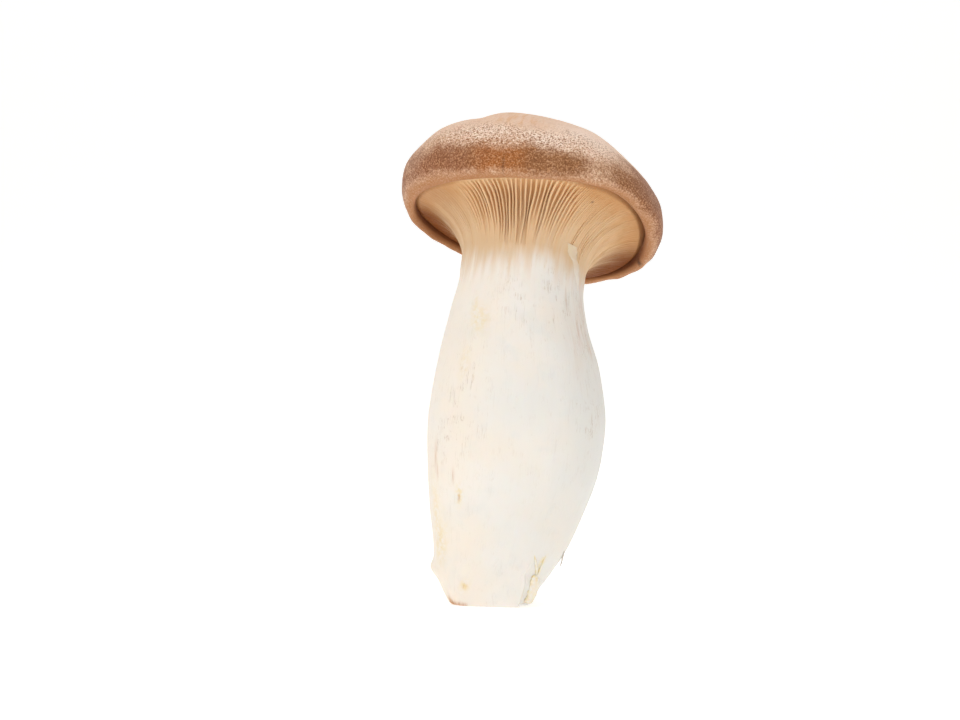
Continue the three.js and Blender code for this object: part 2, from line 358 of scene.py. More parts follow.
def colour(red, green, blue):
    """A screen colour, 0 to 255, as the shader takes it."""
    screen = np.array([red, green, blue]) / 255
    linear = np.where(screen <= 0.04045, screen / 12.92, ((screen + 0.055) / 1.055) ** 2.4)
    return (*linear.tolist(), 1.0)


class Skin:
    """A material whose nodes are added one by one."""

    def __init__(self, name, surface):
        self.material = bpy.data.materials.new(name)
        self.material.use_nodes = True
        self.nodes = self.material.node_tree.nodes
        self.shader = self.nodes["Principled BSDF"]
        for socket, value in surface.items():
            self.shader.inputs[socket].default_value = value

    def feed(self, socket, value):
        if isinstance(value, bpy.types.NodeSocket):
            self.material.node_tree.links.new(value, socket)
        else:
            socket.default_value = value

    def add(self, kind, inputs, **settings):
        node = self.nodes.new(kind)
        for name, value in settings.items():
            setattr(node, name, value)
        for key, value in inputs.items():
            self.feed(node.inputs[key], value)
        return node

    def place(self):
        """Where a point is, in millimetres."""
        corner = self.nodes.new("ShaderNodeTexCoord").outputs["Object"]
        scaled = self.add("ShaderNodeVectorMath", {0: corner}, operation="SCALE")
        scaled.inputs["Scale"].default_value = 1 / MM
        return scaled.outputs[0]

    def mask(self, name):
        return self.add("ShaderNodeAttribute", {}, attribute_name=name).outputs["Fac"]

    def grain(self):
        """Where a point is, in millimetres round the mushroom and along its fibres."""
        return self.add("ShaderNodeAttribute", {}, attribute_name="grain").outputs["Vector"]

    def noise(self, at, size, detail=2.0, roughness=0.5, distortion=0.0):
        inputs = {
            "Vector": at,
            "Scale": 1 / size,
            "Detail": detail,
            "Roughness": roughness,
            "Distortion": distortion,
        }
        return self.add("ShaderNodeTexNoise", inputs).outputs["Fac"]

    def steps(self, value, low, high, start=0.0, end=1.0):
        inputs = {"Value": value, "From Min": low, "From Max": high, "To Min": start, "To Max": end}
        node = self.add("ShaderNodeMapRange", inputs, interpolation_type="SMOOTHSTEP")
        return node.outputs["Result"]

    def sum(self, a, b, operation="ADD"):
        return self.add("ShaderNodeMath", {0: a, 1: b}, operation=operation).outputs[0]

    def times(self, a, b):
        return self.sum(a, b, "MULTIPLY")

    def mix(self, share, a, b, blend="MIX"):
        node = self.add("ShaderNodeMix", {0: share, 6: a, 7: b}, data_type="RGBA", blend_type=blend)
        return node.outputs[2]

    def finish(self, tint, roughness, height, bump_mm):
        bump = self.add("ShaderNodeBump", {"Height": height, "Distance": bump_mm * MM})
        self.feed(self.shader.inputs["Base Color"], tint)
        self.feed(self.shader.inputs["Roughness"], roughness)
        self.feed(self.shader.inputs["Normal"], bump.outputs["Normal"])
        return self.material


STEM_WHITE = colour(237, 235, 231)
STEM_CREAM = colour(240, 230, 217)
STEM_GREY = colour(226, 225, 220)
STEM_TAN = colour(218, 186, 148)
STEM_PAINTED_LIGHT = colour(247, 235, 219)
FLECK_GREY = colour(205, 192, 176)
CRACK_BROWN = colour(180, 152, 124)
GROOVE_SHADOW = colour(148, 90, 48)
STAIN_YELLOW = colour(236, 214, 160)
BRUISE_BROWN = colour(190, 128, 66)
GILL_EDGE = colour(224, 185, 142)
GILL_FLOOR_SHADED = colour(200, 150, 100)
GILL_SHADE = colour(150, 106, 38)
CAP_TAN = colour(212, 170, 138)
CAP_PALE = colour(230, 196, 170)
CAP_DARK = colour(150, 98, 60)
CAP_BLUSH = colour(228, 186, 160)
CAP_CROWN = colour(200, 148, 108)
CAP_BLOOM = colour(242, 216, 197)
CAP_HONEY = colour(222, 174, 132)
CAP_HIGHLIGHT = colour(252, 232, 214)
CAP_SPECK = colour(146, 98, 66)
CAP_RUST = colour(170, 100, 44)
CAP_PLUM = colour(148, 96, 68)
CAP_UMBER = colour(144, 98, 62)
MARGIN_TAN = colour(175, 121, 78)
CAP_SPECK_DARK = colour(112, 68, 42)
CAP_GLINT_DARK = colour(206, 154, 112)
CAP_GLINT = colour(240, 212, 186)
DARK_SPOT = colour(74, 44, 26)


def flesh_skin():
    """The stem's fibrous white skin, which turns tan at the neck and into gills above."""
    surface = {
        "Subsurface Weight": 0.2,
        "Subsurface Radius": (1.0, 0.55, 0.3),
        "Subsurface Scale": 1.6 * MM,
        "Specular IOR Level": 0.15,
    }
    skin = Skin("mushroom_flesh_skin", surface)
    place = skin.place()
    grain = skin.grain()
    fibre = skin.noise(grain, 0.55, 3, 0.6)
    thread = skin.noise(grain, 0.24, 2, 0.5)
    cloud = skin.noise(place, 17, 3, 0.55)
    patch = skin.noise(place, 7, 3, 0.6)
    tint = skin.mix(skin.times(skin.steps(cloud, 0.35, 0.66), 0.6), STEM_CREAM, STEM_WHITE)
    tint = skin.mix(skin.times(skin.steps(patch, 0.5, 0.72), 0.4), tint, STEM_GREY)
    # Painted light at the stem's left, then painted shade and grey patches at its right.
    tint = skin.mix(skin.mask("painted_light"), tint, STEM_PAINTED_LIGHT)
    tint = skin.mix(skin.mask("painted_shade_and_grey"), tint, STEM_GREY)
    drawn = skin.noise(grain, 0.9, 3, 0.62, 0.35)
    crack = skin.steps(skin.sum(skin.sum(drawn, 0.5, "SUBTRACT"), 0, "ABSOLUTE"), 0.016, 0.004)
    broken = skin.steps(skin.noise(place, 3.4, 2, 0.6), 0.48, 0.6)
    crack = skin.times(skin.times(crack, broken), skin.mask("fibrous"))
    tint = skin.mix(skin.times(crack, 0.9), tint, CRACK_BROWN)
    flecks = skin.times(skin.steps(fibre, 0.56, 0.72), skin.steps(patch, 0.42, 0.6))
    flecks = skin.times(skin.times(flecks, skin.mask("fibrous")), 0.8)
    tint = skin.mix(flecks, tint, FLECK_GREY)
    ragged = skin.times(skin.sum(fibre, 0.5, "SUBTRACT"), 0.35)
    tan = skin.steps(skin.sum(skin.mask("neck"), skin.times(ragged, skin.mask("neck"))), 0.05, 1.0)
    tint = skin.mix(tan, tint, STEM_TAN)
    stain = skin.times(skin.mask("stain"), skin.steps(skin.noise(place, 1.6, 3, 0.65), 0.35, 0.62))
    tint = skin.mix(stain, tint, STAIN_YELLOW)
    bruise = skin.times(skin.mask("bruise"), skin.steps(fibre, 0.3, 0.62))
    tint = skin.mix(bruise, tint, BRUISE_BROWN)
    # Gill floors are darker than their edges: partly their own colour, partly painted shade in the
    # troughs.
    uneven = skin.noise(place, 5, 2, 0.5)
    floor = skin.sum(skin.mask("trough"), skin.times(skin.sum(uneven, 0.5, "SUBTRACT"), 0.5))
    line = skin.times(skin.sum(thread, 0.5, "SUBTRACT"), 0.5)
    gill = skin.mix(skin.steps(skin.sum(floor, line), 0.05, 0.95), GILL_EDGE, GILL_FLOOR_SHADED)
    gill = skin.mix(skin.mask("shade"), gill, GILL_SHADE, "MULTIPLY")
    tint = skin.mix(skin.mask("gill"), tint, gill)
    # Painted shadow in the groove under the lip.
    tint = skin.mix(skin.mask("groove"), tint, GROOVE_SHADOW)
    tint = skin.mix(skin.mask("spot"), tint, DARK_SPOT)
    height = skin.sum(skin.times(fibre, 0.7), skin.times(thread, 0.3))
    height = skin.sum(height, skin.times(skin.noise(place, 0.35, 2, 0.6), 0.25))
    height = skin.sum(height, skin.times(crack, 0.5), "SUBTRACT")
    return skin.finish(tint, skin.steps(patch, 0.3, 0.7, 0.5, 0.64), height, 0.06)


def cap_skin():
    """The cap's felted skin: tan with dark specks, darker towards the margin."""
    surface = {
        "Subsurface Weight": 0.08,
        "Subsurface Radius": (1.0, 0.45, 0.25),
        "Subsurface Scale": 1.2 * MM,
        "Specular IOR Level": 0.15,
        "Sheen Weight": 0.05,
        "Sheen Roughness": 0.5,
    }
    skin = Skin("mushroom_cap_skin", surface)
    place = skin.place()
    cloud = skin.noise(place, 14, 3, 0.55)
    patch = skin.noise(place, 4.5, 3, 0.6)
    speck = skin.noise(place, 0.44, 1.5, 0.5)
    felt = skin.noise(skin.grain(), 0.5, 3, 0.6)
    band = skin.sum(skin.mask("band"), skin.times(skin.sum(patch, 0.5, "SUBTRACT"), 0.8))
    ragged = skin.sum(skin.noise(place, 1.3, 3, 0.65), 0.5, "SUBTRACT")
    band = skin.sum(band, skin.times(ragged, 0.9))
    band = skin.steps(band, 0.0, 1.0)
    rust = skin.steps(skin.sum(skin.mask("rust"), skin.times(cloud, 0.4)), 0.35, 0.9)
    dark = skin.mix(rust, CAP_DARK, CAP_RUST)
    dark = skin.mix(skin.mask("plum"), dark, CAP_PLUM)
    dark = skin.mix(skin.mask("umber"), dark, CAP_UMBER)
    dark = skin.mix(skin.times(skin.steps(felt, 0.5, 0.75), 0.45), dark, CAP_SPECK)
    pale = skin.steps(skin.sum(skin.mask("pale"), skin.times(cloud, 0.6)), 0.45, 1.1)
    light = skin.mix(pale, CAP_TAN, CAP_PALE)
    blush = skin.times(skin.steps(skin.noise(place, 6, 3, 0.6), 0.45, 0.68), 0.6)
    light = skin.mix(blush, light, CAP_BLUSH)
    crown = skin.sum(skin.mask("crown"), skin.times(skin.sum(cloud, 0.5, "SUBTRACT"), 0.5))
    light = skin.mix(skin.times(skin.steps(crown, 0.1, 1.3), 0.9), light, CAP_CROWN)
    light = skin.mix(skin.times(skin.steps(felt, 0.48, 0.72), 0.3), light, CAP_CROWN)
    light = skin.mix(skin.mask("bloom"), light, CAP_BLOOM)
    streaks = skin.steps(skin.noise(skin.grain(), 1.6, 3, 0.6, 0.6), 0.4, 0.62)
    light = skin.mix(skin.times(skin.mask("honey"), streaks), light, CAP_HONEY)
    tint = skin.mix(band, light, dark)
    tint = skin.mix(skin.mask("margin"), tint, MARGIN_TAN)
    specks = skin.times(skin.steps(speck, 0.5, 0.34), skin.mask("speckled"))
    # Painted highlight: on the upper front slope the dark specks get stronger and the glints turn
    # near white.
    strength = skin.sum(skin.times(skin.mask("painted_highlight"), 0.3), 0.62)
    tint = skin.mix(skin.times(specks, strength), tint, skin.mix(band, CAP_SPECK, CAP_SPECK_DARK))
    glints = skin.times(skin.steps(speck, 0.5, 0.66), skin.mask("speckled"))
    glint = skin.mix(skin.mask("painted_highlight"), CAP_GLINT, CAP_HIGHLIGHT)
    tint = skin.mix(skin.times(glints, strength), tint, skin.mix(band, glint, CAP_GLINT_DARK))
    tint = skin.mix(skin.mask("shade"), tint, GILL_SHADE, "MULTIPLY")
    # Painted shadow in the groove under the lip.
    tint = skin.mix(skin.mask("groove"), tint, GROOVE_SHADOW)
    tint = skin.mix(skin.mask("spot"), tint, DARK_SPOT)
    height = skin.sum(skin.times(speck, 0.8), skin.times(felt, 0.3))
    return skin.finish(tint, skin.steps(speck, 0.35, 0.65, 0.72, 0.5), height, 0.09)


def marks(angle, z, places, radius=STEM_USUAL_RADIUS):
    """Soft spots on a surface, each at an angle and height with a half width and height."""
    total = 0.0
    for towards, height, half_width, half_height, strength in places:
        sideways = angle_off(angle, towards) * radius / half_width
        upwards = (z - height) / half_height
        total = total + strength * np.exp(-(sideways**2) - upwards**2)
    return np.clip(total, 0, 1)


# Marks on the stem: angle, height, half width, half height and strength
STEM_STAINS = [
    (4.15, 79, 2.6, 3.2, 0.6), (4.02, 83, 1.2, 2.5, 0.4), (4.05, 31.2, 0.9, 2.4, 1.0),
    (3.66, 17.0, 3.0, 5.0, 0.7), (3.55, 27, 2.2, 8.0, 0.4), (5.43, 12.0, 1.2, 2.4, 0.6),
    (5.42, 14.0, 0.8, 1.6, 0.7), (5.6, 4.0, 2.6, 2.6, 0.5), (4.33, 5.9, 1.8, 1.6, 0.9),
    (4.0, 67, 1.6, 5.0, 0.3), (1.2, 30, 4, 7, 0.4), (0.5, 52, 3, 9, 0.35), (2.2, 70, 3, 6, 0.4),
]
STEM_BRUISES = [
    (3.62, 41.4, 0.6, 3.6, 0.45), (3.66, 37, 0.5, 2.4, 0.4), (3.96, 36.3, 0.45, 1.8, 0.4),
    (4.05, 30.5, 0.35, 1.0, 0.55), (5.95, 82, 0.9, 3.4, 0.3), (5.63, 77, 0.5, 3.0, 0.22),
    (5.8, 80, 3.2, 9, 0.2), (5.5, 72, 3.0, 8, 0.1), (5.87, 71.5, 0.7, 2.6, 0.3),
    (5.45, 85, 0.5, 3.0, 0.2), (4.33, 5.9, 0.8, 0.7, 0.4), (3.9, 0.3, 4.0, 0.9, 1.0),
    (4.25, 0.3, 3.6, 0.7, 1.0), (3.75, 0.9, 2.2, 1.5, 0.9), (5.24, 3.5, 0.35, 3.2, 0.3),
    (1.9, 0.3, 4.0, 0.6, 0.7), (2.6, 44, 0.6, 4.0, 0.4), (0.8, 60, 0.6, 3.2, 0.4),
]
STEM_COOL_PATCHES = [(4.9, 57, 11, 9, 1.0), (4.8, 26, 9, 17, 0.75), (5.3, 22, 6, 14, 0.6)]
STEM_FIBROUS_ZONES = [
    (4.75, 86, 5, 8, 0.9), (5.3, 85, 5, 8, 1.0), (5.68, 54, 4, 9, 0.9), (5.8, 77, 5, 10, 1.0),
    (4.05, 58, 5, 12, 0.7), (3.75, 45, 5, 11, 0.6), (1.2, 65, 8, 18, 0.9), (2.4, 50, 7, 20, 0.8),
    (0.4, 40, 6, 18, 0.8),
]


def stem_masks(angle, points, along):
    """Where the stem has painted shade at the right and grey patches, painted light at the left,
    fibrous skin, stains or bruises, and where it turns tan.
    """
    z = points[..., 2]
    side = np.cos(angle)
    lumps = noise(points, 9, 2, 31)
    bulge = np.exp(-(((z - 48) / 22) ** 2))
    # Painted shade: the right side is greyed as if turned from the light, more so round the bulge,
    # and grey patches of the skin's own tone are added.
    painted_shade_and_grey = smooth_step(-0.1, 0.9, side + 0.25 * lumps) * (0.5 + 0.3 * bulge)
    painted_shade_and_grey = np.maximum(painted_shade_and_grey, 0.55 * marks(angle, z + 2 * lumps, STEM_COOL_PATCHES))
    # Painted light: the left side is warmed and brightened as if facing the light.
    painted_light = smooth_step(0.1, 0.95, -side + 0.25 * lumps) * 0.55
    return {
        "painted_shade_and_grey": painted_shade_and_grey,
        "painted_light": painted_light,
        "fibrous": 0.12 + 0.7 * marks(angle, z, STEM_FIBROUS_ZONES),
        "stain": marks(angle, z, STEM_STAINS),
        "bruise": marks(angle, z, STEM_BRUISES),
        **neck_masks(angle, along),
    }


def neck_masks(angle, along):
    """Where the white skin turns tan, and where that turns into gills, in long wisps."""
    wisps = noise(stacked(angle * 16, along * 0.9, 0), 1, 3, 12)
    white_tongue = 0.25 * round_at(angle, 5.05, 0.3)
    return {
        "neck": smooth_step(-1.7, 0.3, along + 0.2 * wisps - white_tongue),
        "gill": smooth_step(0.0, 0.8, along + 0.16 * wisps),
    }


def stem_grain(angle, path):
    """Coordinates that stretch along the stem, so that noise in them runs as fibres."""
    return stacked(20 * np.cos(angle), 20 * np.sin(angle), path * 0.07)


# The cut at the right of the foot, from its lower end up to its tip
FOOT_CUT = {"low_angle": 5.27, "high_angle": 5.15, "top": 15.5, "depth": 0.4, "fade": 9.0}
FOOT_NOTCH = {"from": 5.22, "to": 6.1, "height": 3.5, "raise": 0.95}


def stem_relief(angle, points, grain):
    """How far the skin stands out of the plain form, in millimetres."""
    z = points[..., 2]
    calm = smooth_step(0, 5, z)
    relief = 0.16 * noise(points, 13, 2, 3) * calm
    relief = relief + 0.045 * noise(grain, 1.5, 3, 7) * (0.4 + 0.6 * calm)
    towards = np.interp(z, [0, FOOT_CUT["top"]], [FOOT_CUT["low_angle"], FOOT_CUT["high_angle"]])
    wander = 0.35 * noise(points * [0, 0, 1], 3.2, 2, 19)
    off = angle_off(angle, towards) * 14 + wander
    reach = smooth_step(FOOT_CUT["top"], FOOT_CUT["top"] - 7, z)
    sunk = smooth_step(-0.1, 0.55, off) * np.exp(-((np.maximum(off, 0) / FOOT_CUT["fade"]) ** 2))
    relief = relief - FOOT_CUT["depth"] * sunk * reach
    lip = np.exp(-(((off + 0.45) / 0.4) ** 2)) * reach
    relief = relief + 0.28 * lip
    return relief


def build_stem(material):
    dense = np.linspace(0, LAST_STATION - GILL_RUN_DOWN, STEM_SAMPLES)
    heights = station_at(dense)[0]
    wall = np.linspace(0, heights[-1], STEM_ROWS - 3)
    rounding = FOOT_ROUNDING * np.array([0.08, 0.3, 0.62])
    wall = np.sort(np.concatenate([wall, rounding]))
    place = np.interp(wall, heights, dense)[:, None]
    angle = np.linspace(0, 2 * pi, STEM_COLUMNS, endpoint=False)[None]
    points = stem_point(angle, place)
    grain = stem_grain(angle, path_lengths(points))
    outward = grid_normals(points)
    seam = smooth_step(LAST_STATION - GILL_RUN_DOWN, LAST_STATION - GILL_RUN_DOWN - 0.3, place)
    level = outward * np.where(points[..., 2:] < 3, [1, 1, 0], [1, 1, 1])
    relief = stem_relief(angle, points, grain) * seam
    below = np.maximum(FOOT_ROUNDING - points[..., 2], 0)
    relief = relief - (FOOT_ROUNDING - np.sqrt(FOOT_ROUNDING**2 - below**2))
    points = points + level * relief[..., None]
    ragged = 0.05 * noise(points, 2.2, 2, 23)
    notch = smooth_step(FOOT_NOTCH["from"], FOOT_NOTCH["from"] + 0.1, angle + ragged)
    notch = notch * smooth_step(FOOT_NOTCH["to"], FOOT_NOTCH["to"] - 0.35, angle)
    low = smooth_step(FOOT_NOTCH["height"], 0, points[..., 2])
    points[..., 2] += FOOT_NOTCH["raise"] * notch * low
    masks = stem_masks(angle, points, place - LAST_STATION)
    masks["grain"] = grain
    closed_piece("stem", points, masks, points[0].mean(0), points[-1].mean(0), material)
    return angle[0], grain[-1, :, 2]


def gill_columns(along, shift, radius, fatness):
    """Angles of one row: each blade's flank, crest and flank, and the trough after it."""
    spacing = 2 * pi / FULL_GILLS
    opening = np.clip(along, 0, 1) ** 0.7
    widths = {rank: share + (0.25 - share) * opening for rank, (_, share, *_) in GILL_RANKS.items()}
    middles = [
        ("full", 0.0),
        ("short", (widths["full"] + widths["short"]) / 2),
        ("half", 0.5),
        ("short", 1 - (widths["full"] + widths["short"]) / 2),
    ]
    shares = []
    for rank, middle in middles:
        thickness = GILL_RANKS[rank][0] * fatness / radius / spacing
        half = np.minimum(thickness / 2, 0.34 * widths[rank])
        after = middle + widths[rank] / 2
        shares += np.broadcast_arrays(middle - half, middle, middle + half, after)
    shares = np.stack(shares, -1)
    following = np.roll(shift, -1)
    groups = np.arange(FULL_GILLS)[:, None] + shares
    bent = shift[:, None] + (following - shift)[:, None] * shares
    return ((groups + bent) * spacing).ravel()


def dense_share(angle, along):
    """1 where the gills stand close and fine, at the left and the right, else 0."""
    reach = np.clip(along, 0, 1)
    right_off = angle_off(angle, 5.9)
    right = smooth_step(-0.9 - 0.2 * reach, -0.45 - 0.2 * reach, right_off)
    right = right * smooth_step(2.3, 1.9, right_off)
    return np.clip(right + left_share(angle, along), 0, 1)


def left_share(angle, along):
    """1 at the left of the front, where the blades are so fine that they look smooth."""
    reach = np.clip(along, 0, 1)
    front = smooth_step(4.12 + 0.06 * reach, 3.78 + 0.06 * reach, angle)
    return front * smooth_step(2.0, 2.4, angle)


def eased(points, along):
    """The wall with the bend at the neck made soft."""
    soft = points
    for _ in range(NECK_EASING):
        soft = np.concatenate([soft[:1], (soft[:-2] + 2 * soft[1:-1] + soft[2:]) / 4, soft[-1:]])
    share = smooth_step(-0.4, -0.2, along) * smooth_step(0.45, 0.2, along)
    return points + (soft - points) * share[..., None]


def behind_share(angle):
    """1 on the far side, which lies in the cap's shadow, and 0 in front."""
    back = np.sin(angle)
    left = smooth_step(-0.35, 0.25, back)
    right = smooth_step(-0.02, 0.5, back)
    side = smooth_step(-0.6, 0.6, np.cos(angle))
    return left + (right - left) * side


# A dark speck on the gills: angle, place along them, half width, half length and strength
GILL_SPOT = (5.32, 0.73, 0.26, 0.014, 1.0)
GILL_USUAL_RADIUS = 28


def build_gills(material, stem_angles, stem_lengths):
    draws = np.random.RandomState(5)
    dense = np.linspace(-GILL_RUN_DOWN, 1, GILL_SAMPLES)
    length = path_lengths(wall_point(FRONT_ANGLE, dense)[:, None])[:, 0]
    along = np.interp(np.linspace(0, length[-1], GILL_ROWS), length, dense)
    knots = draws.uniform(-1, 1, (FULL_GILLS, BLADE_KNOTS))
    knots = knots * np.linspace(0.2, 0.12, BLADE_KNOTS)
    knots[:, -1] = 0
    starts = -GILL_RUN_DOWN + GILL_START_SPREAD * draws.uniform(0, 1, FULL_GILLS)
    begins = draws.uniform(0, 1, (FULL_GILLS, len(BLADE_ORDER)))
    lowers = draws.uniform(0.6, 1.3, (FULL_GILLS, len(BLADE_ORDER)))
    fatness = draws.uniform(0.7, 1.6, FULL_GILLS)
    angle = []
    for value in along:
        place = (value + GILL_RUN_DOWN) / (1 + GILL_RUN_DOWN) * (BLADE_KNOTS - 1)
        low = min(int(place), BLADE_KNOTS - 2)
        share = smooth_step(0, 1, place - low)
        shift = knots[:, low] * (1 - share) + knots[:, low + 1] * share
        radius = NECK_HALF_WIDTH + (RIM_RADIUS - NECK_HALF_WIDTH) * flare_shares(value)[0]
        angle.append(gill_columns(value, shift, radius, fatness))
    angle = np.array(angle)
    along = np.broadcast_to(along[:, None], angle.shape)

    column = np.arange(angle.shape[1])
    group, slot = np.divmod(column // POINTS_PER_BLADE, len(BLADE_ORDER))
    part = column % POINTS_PER_BLADE
    rank = np.array(BLADE_ORDER)[slot]
    dense_here = dense_share(angle, along)
    start = starts[group] + 0.14
    near_rim = smooth_step(GILL_SHALLOW_FROM, 1, along)
    full_depth = GILL_DEPTH + (GILL_DEPTH_AT_RIM - GILL_DEPTH) * near_rim
    rise = smooth_step(0, 1, (along - start) / GILL_RISE)
    left_open = GILL_OPEN_SHARE + (GILL_DENSE_SHARE - GILL_OPEN_SHARE) * dense_here
    trough = full_depth * rise * left_open
    fine = np.maximum(left_share(angle, along), dense_here * behind_share(angle))
    trough = trough * (1 - 0.55 * fine)
    first = np.zeros(angle.shape)
    behind = np.zeros(angle.shape)
    for label, (_, _, lower, open_from, dense_from) in GILL_RANKS.items():
        if open_from is None:
            continue
        of_rank = (rank == label)[None] & np.ones(angle.shape, bool)
        draw = begins[group, slot][None]
        open_start = open_from[0] + (open_from[1] - open_from[0]) * draw
        dense_start = dense_from[0] + (dense_from[1] - dense_from[0]) * draw
        begin = open_start + (dense_start - open_start) * dense_here
        present = smooth_step(begin, begin + 0.16, along)
        first = np.where(of_rank, 1 - present, first)
        behind = np.where(of_rank, lower * lowers[group, slot][None], behind)
    behind = np.minimum(behind * (1 - 0.8 * dense_here), 0.6 * trough)
    ragged = 0.06 * noise(stacked(angle * 20, along * 25, 0), 1, 2, 8)
    crest = trough * first + (1 - first) * np.maximum(behind + ragged * rise, 0)
    flank = crest + (trough - crest) * 0.1
    depth = np.where(part == 1, crest, np.where(part == 3, trough, flank))
    right_off = angle_off(angle, 5.6)
    dark_side = smooth_step(-0.68, -0.4, right_off) * smooth_step(1.15, 0.75, right_off)
    end = smooth_step(0.93 - 0.03 * dark_side, 1.0 - 0.03 * dark_side, along)
    depth = depth + (groove_depth(angle) - depth) * end

    surface = eased(wall_point(angle, along), along)
    points = surface + wall_inward(angle, along) * depth[..., None]
    rim = angle[-1]
    groove_top = lobe_sum(RIM_WAVES, rim) + groove_depth(rim)
    points[-1] = cap_point(rim, rim_radius(rim), groove_top)
    masks = stem_masks(angle, surface, along)
    masks["grain"] = stem_grain(angle, path_lengths(surface))
    masks["grain"][..., 2] += np.interp(angle, stem_angles, stem_lengths, period=2 * pi)
    uneven = noise(stacked(group[None] * 1.7 + slot[None] * 0.6, along * 2.5, 0), 1, 1, 14)
    # The trough mask darkens the gill floors, partly as their own colour and partly as painted
    # shade in the troughs; the close-set sides get more painted shade, most towards the rim.
    sunk = np.clip(depth / np.maximum(trough, 0.3), 0, 1) * np.clip(trough, 0, 1) * (1 - end)
    sunk = sunk * (1 + 0.45 * uneven) * (1 - 0.3 * dense_here)
    masks["trough"] = sunk + dense_here * (0.3 + 0.45 * smooth_step(0.5, 0.95, along))
    deep_left = 0.26 * smooth_step(4.05, 3.6, angle) * smooth_step(2.0, 2.4, angle)
    shade = np.maximum(behind_share(angle), deep_left) * smooth_step(-0.5, 0.5, along)
    masks["shade"] = shade * (1 - 0.3 * smooth_step(0.6, 0.95, along) * dark_side)
    # Painted shadow: a dark line on the gills just inside the rim, strongest at the right and on
    # the far side, where the lip overhangs the groove.
    groove = 0.9 * dark_side + 0.35 * behind_share(angle)
    masks["groove"] = smooth_step(0.9, 0.985, along) * groove
    masks["spot"] = marks(angle, along, [GILL_SPOT], GILL_USUAL_RADIUS)
    foot = LAST_STATION - GILL_RUN_DOWN
    neck = (stem_point(0, foot) + stem_point(pi, foot)) / 2
    closed_piece("gills", points, masks, neck, points[-1].mean(0), material)


def cap_rings(angle):
    """Radius and height of each ring, from the groove round the margin and up the crown."""
    rim, widest = rim_radius(angle), cap_radius(angle)
    rim_wave, cap_wave = lobe_sum(RIM_WAVES, angle), lobe_sum(CAP_WAVES, angle)
    low_radius = rim + (widest - rim) * MARGIN_LOWEST_SHARE
    raised = sum(height * round_at(angle, towards, reach) for towards, reach, height in LIP_BENDS)
    low_height = rim_wave + (cap_wave - rim_wave) * MARGIN_LOWEST_SHARE - MARGIN_DROP + raised
    wide_height = WIDEST_HEIGHT + cap_wave
    top = rim_wave + groove_depth(angle)
    rings = []
    for turn in np.linspace(0, pi / 2, GROOVE_ROWS):
        radius = low_radius - (low_radius - rim) * np.cos(turn)
        rings.append((radius, top + (low_height - top) * np.sin(turn)))
    for turn in np.linspace(0, pi / 2, MARGIN_ROWS + 1)[1:]:
        radius = low_radius + (widest - low_radius) * np.sin(turn)
        rings.append((radius, wide_height - (wide_height - low_height) * np.cos(turn)))
    power = CROWN_POWER_LEFT + (CROWN_POWER_RIGHT - CROWN_POWER_LEFT) * (1 + np.cos(angle)) / 2
    for turn in np.linspace(0, pi / 2, CROWN_ROWS + 1)[1:-1]:
        inward = np.cos(turn) ** (2 / power)
        upward = np.sin(turn) ** (2 / power)
        height = WIDEST_HEIGHT + (CROWN_HEIGHT - WIDEST_HEIGHT) * upward + cap_wave * inward
        rings.append((widest * inward, height))
    return np.array([radius for radius, _ in rings]), np.array([height for _, height in rings])


# Swellings and dents of the cap: angle, height, half width, half height, lift
CAP_SWELLINGS = [
    (3.7, 17.5, 5.0, 4.0, 0.4), (3.97, 21.3, 3.2, 3.0, -0.95), (4.25, 22.5, 4.5, 3.0, 0.25),
    (4.09, 15.5, 3.5, 3.0, -0.4), (5.26, 21.0, 5.5, 4.0, 0.45), (5.7, 16.0, 4.5, 4.0, -0.42),
    (6.05, 8.5, 5.0, 4.0, 0.45), (3.4, 9.0, 5.0, 4.0, 0.45), (5.0, 12.0, 5.0, 4.0, 0.25),
    (1.4, 18.0, 8.0, 6.0, -0.4), (2.4, 14.0, 7.0, 5.0, 0.3), (0.5, 15.0, 7.0, 5.0, 0.25),
]


# A crease, a blemish and a fold of the lip: angle, height, half width, half height, strength
CAP_CREASE = (4.45, 0.8, 0.32, 2.4, 1.0)
CAP_BLEMISH = (2.81, 5.5, 0.9, 1.0, 1.0)
LIP_FOLD = (0.35, -1.3, 1.1, 1.2, 1.0)
CAP_USUAL_RADIUS = 37
LIP_USUAL_RADIUS = 35
# Pale and honey-coloured patches of the cap: angle, height, half width, half height, strength
CAP_BLOOMS = [(5.2, 14.0, 7.0, 5.0, 0.8), (4.75, 9.5, 6.0, 3.0, 0.7), (4.93, 16.0, 6.0, 4.0, 0.5),
              (4.3, 11.0, 6.0, 3.0, 0.4), (1.2, 12.0, 9.0, 5.0, 0.6)]
CAP_HONEYS = [(4.45, 18.5, 8.0, 4.0, 0.9), (3.4, 14.0, 6.0, 5.0, 0.5), (5.6, 9.0, 4.0, 3.0, 0.3),
              (2.3, 16.0, 10.0, 5.0, 0.8), (0.4, 17.0, 9.0, 5.0, 0.7)]


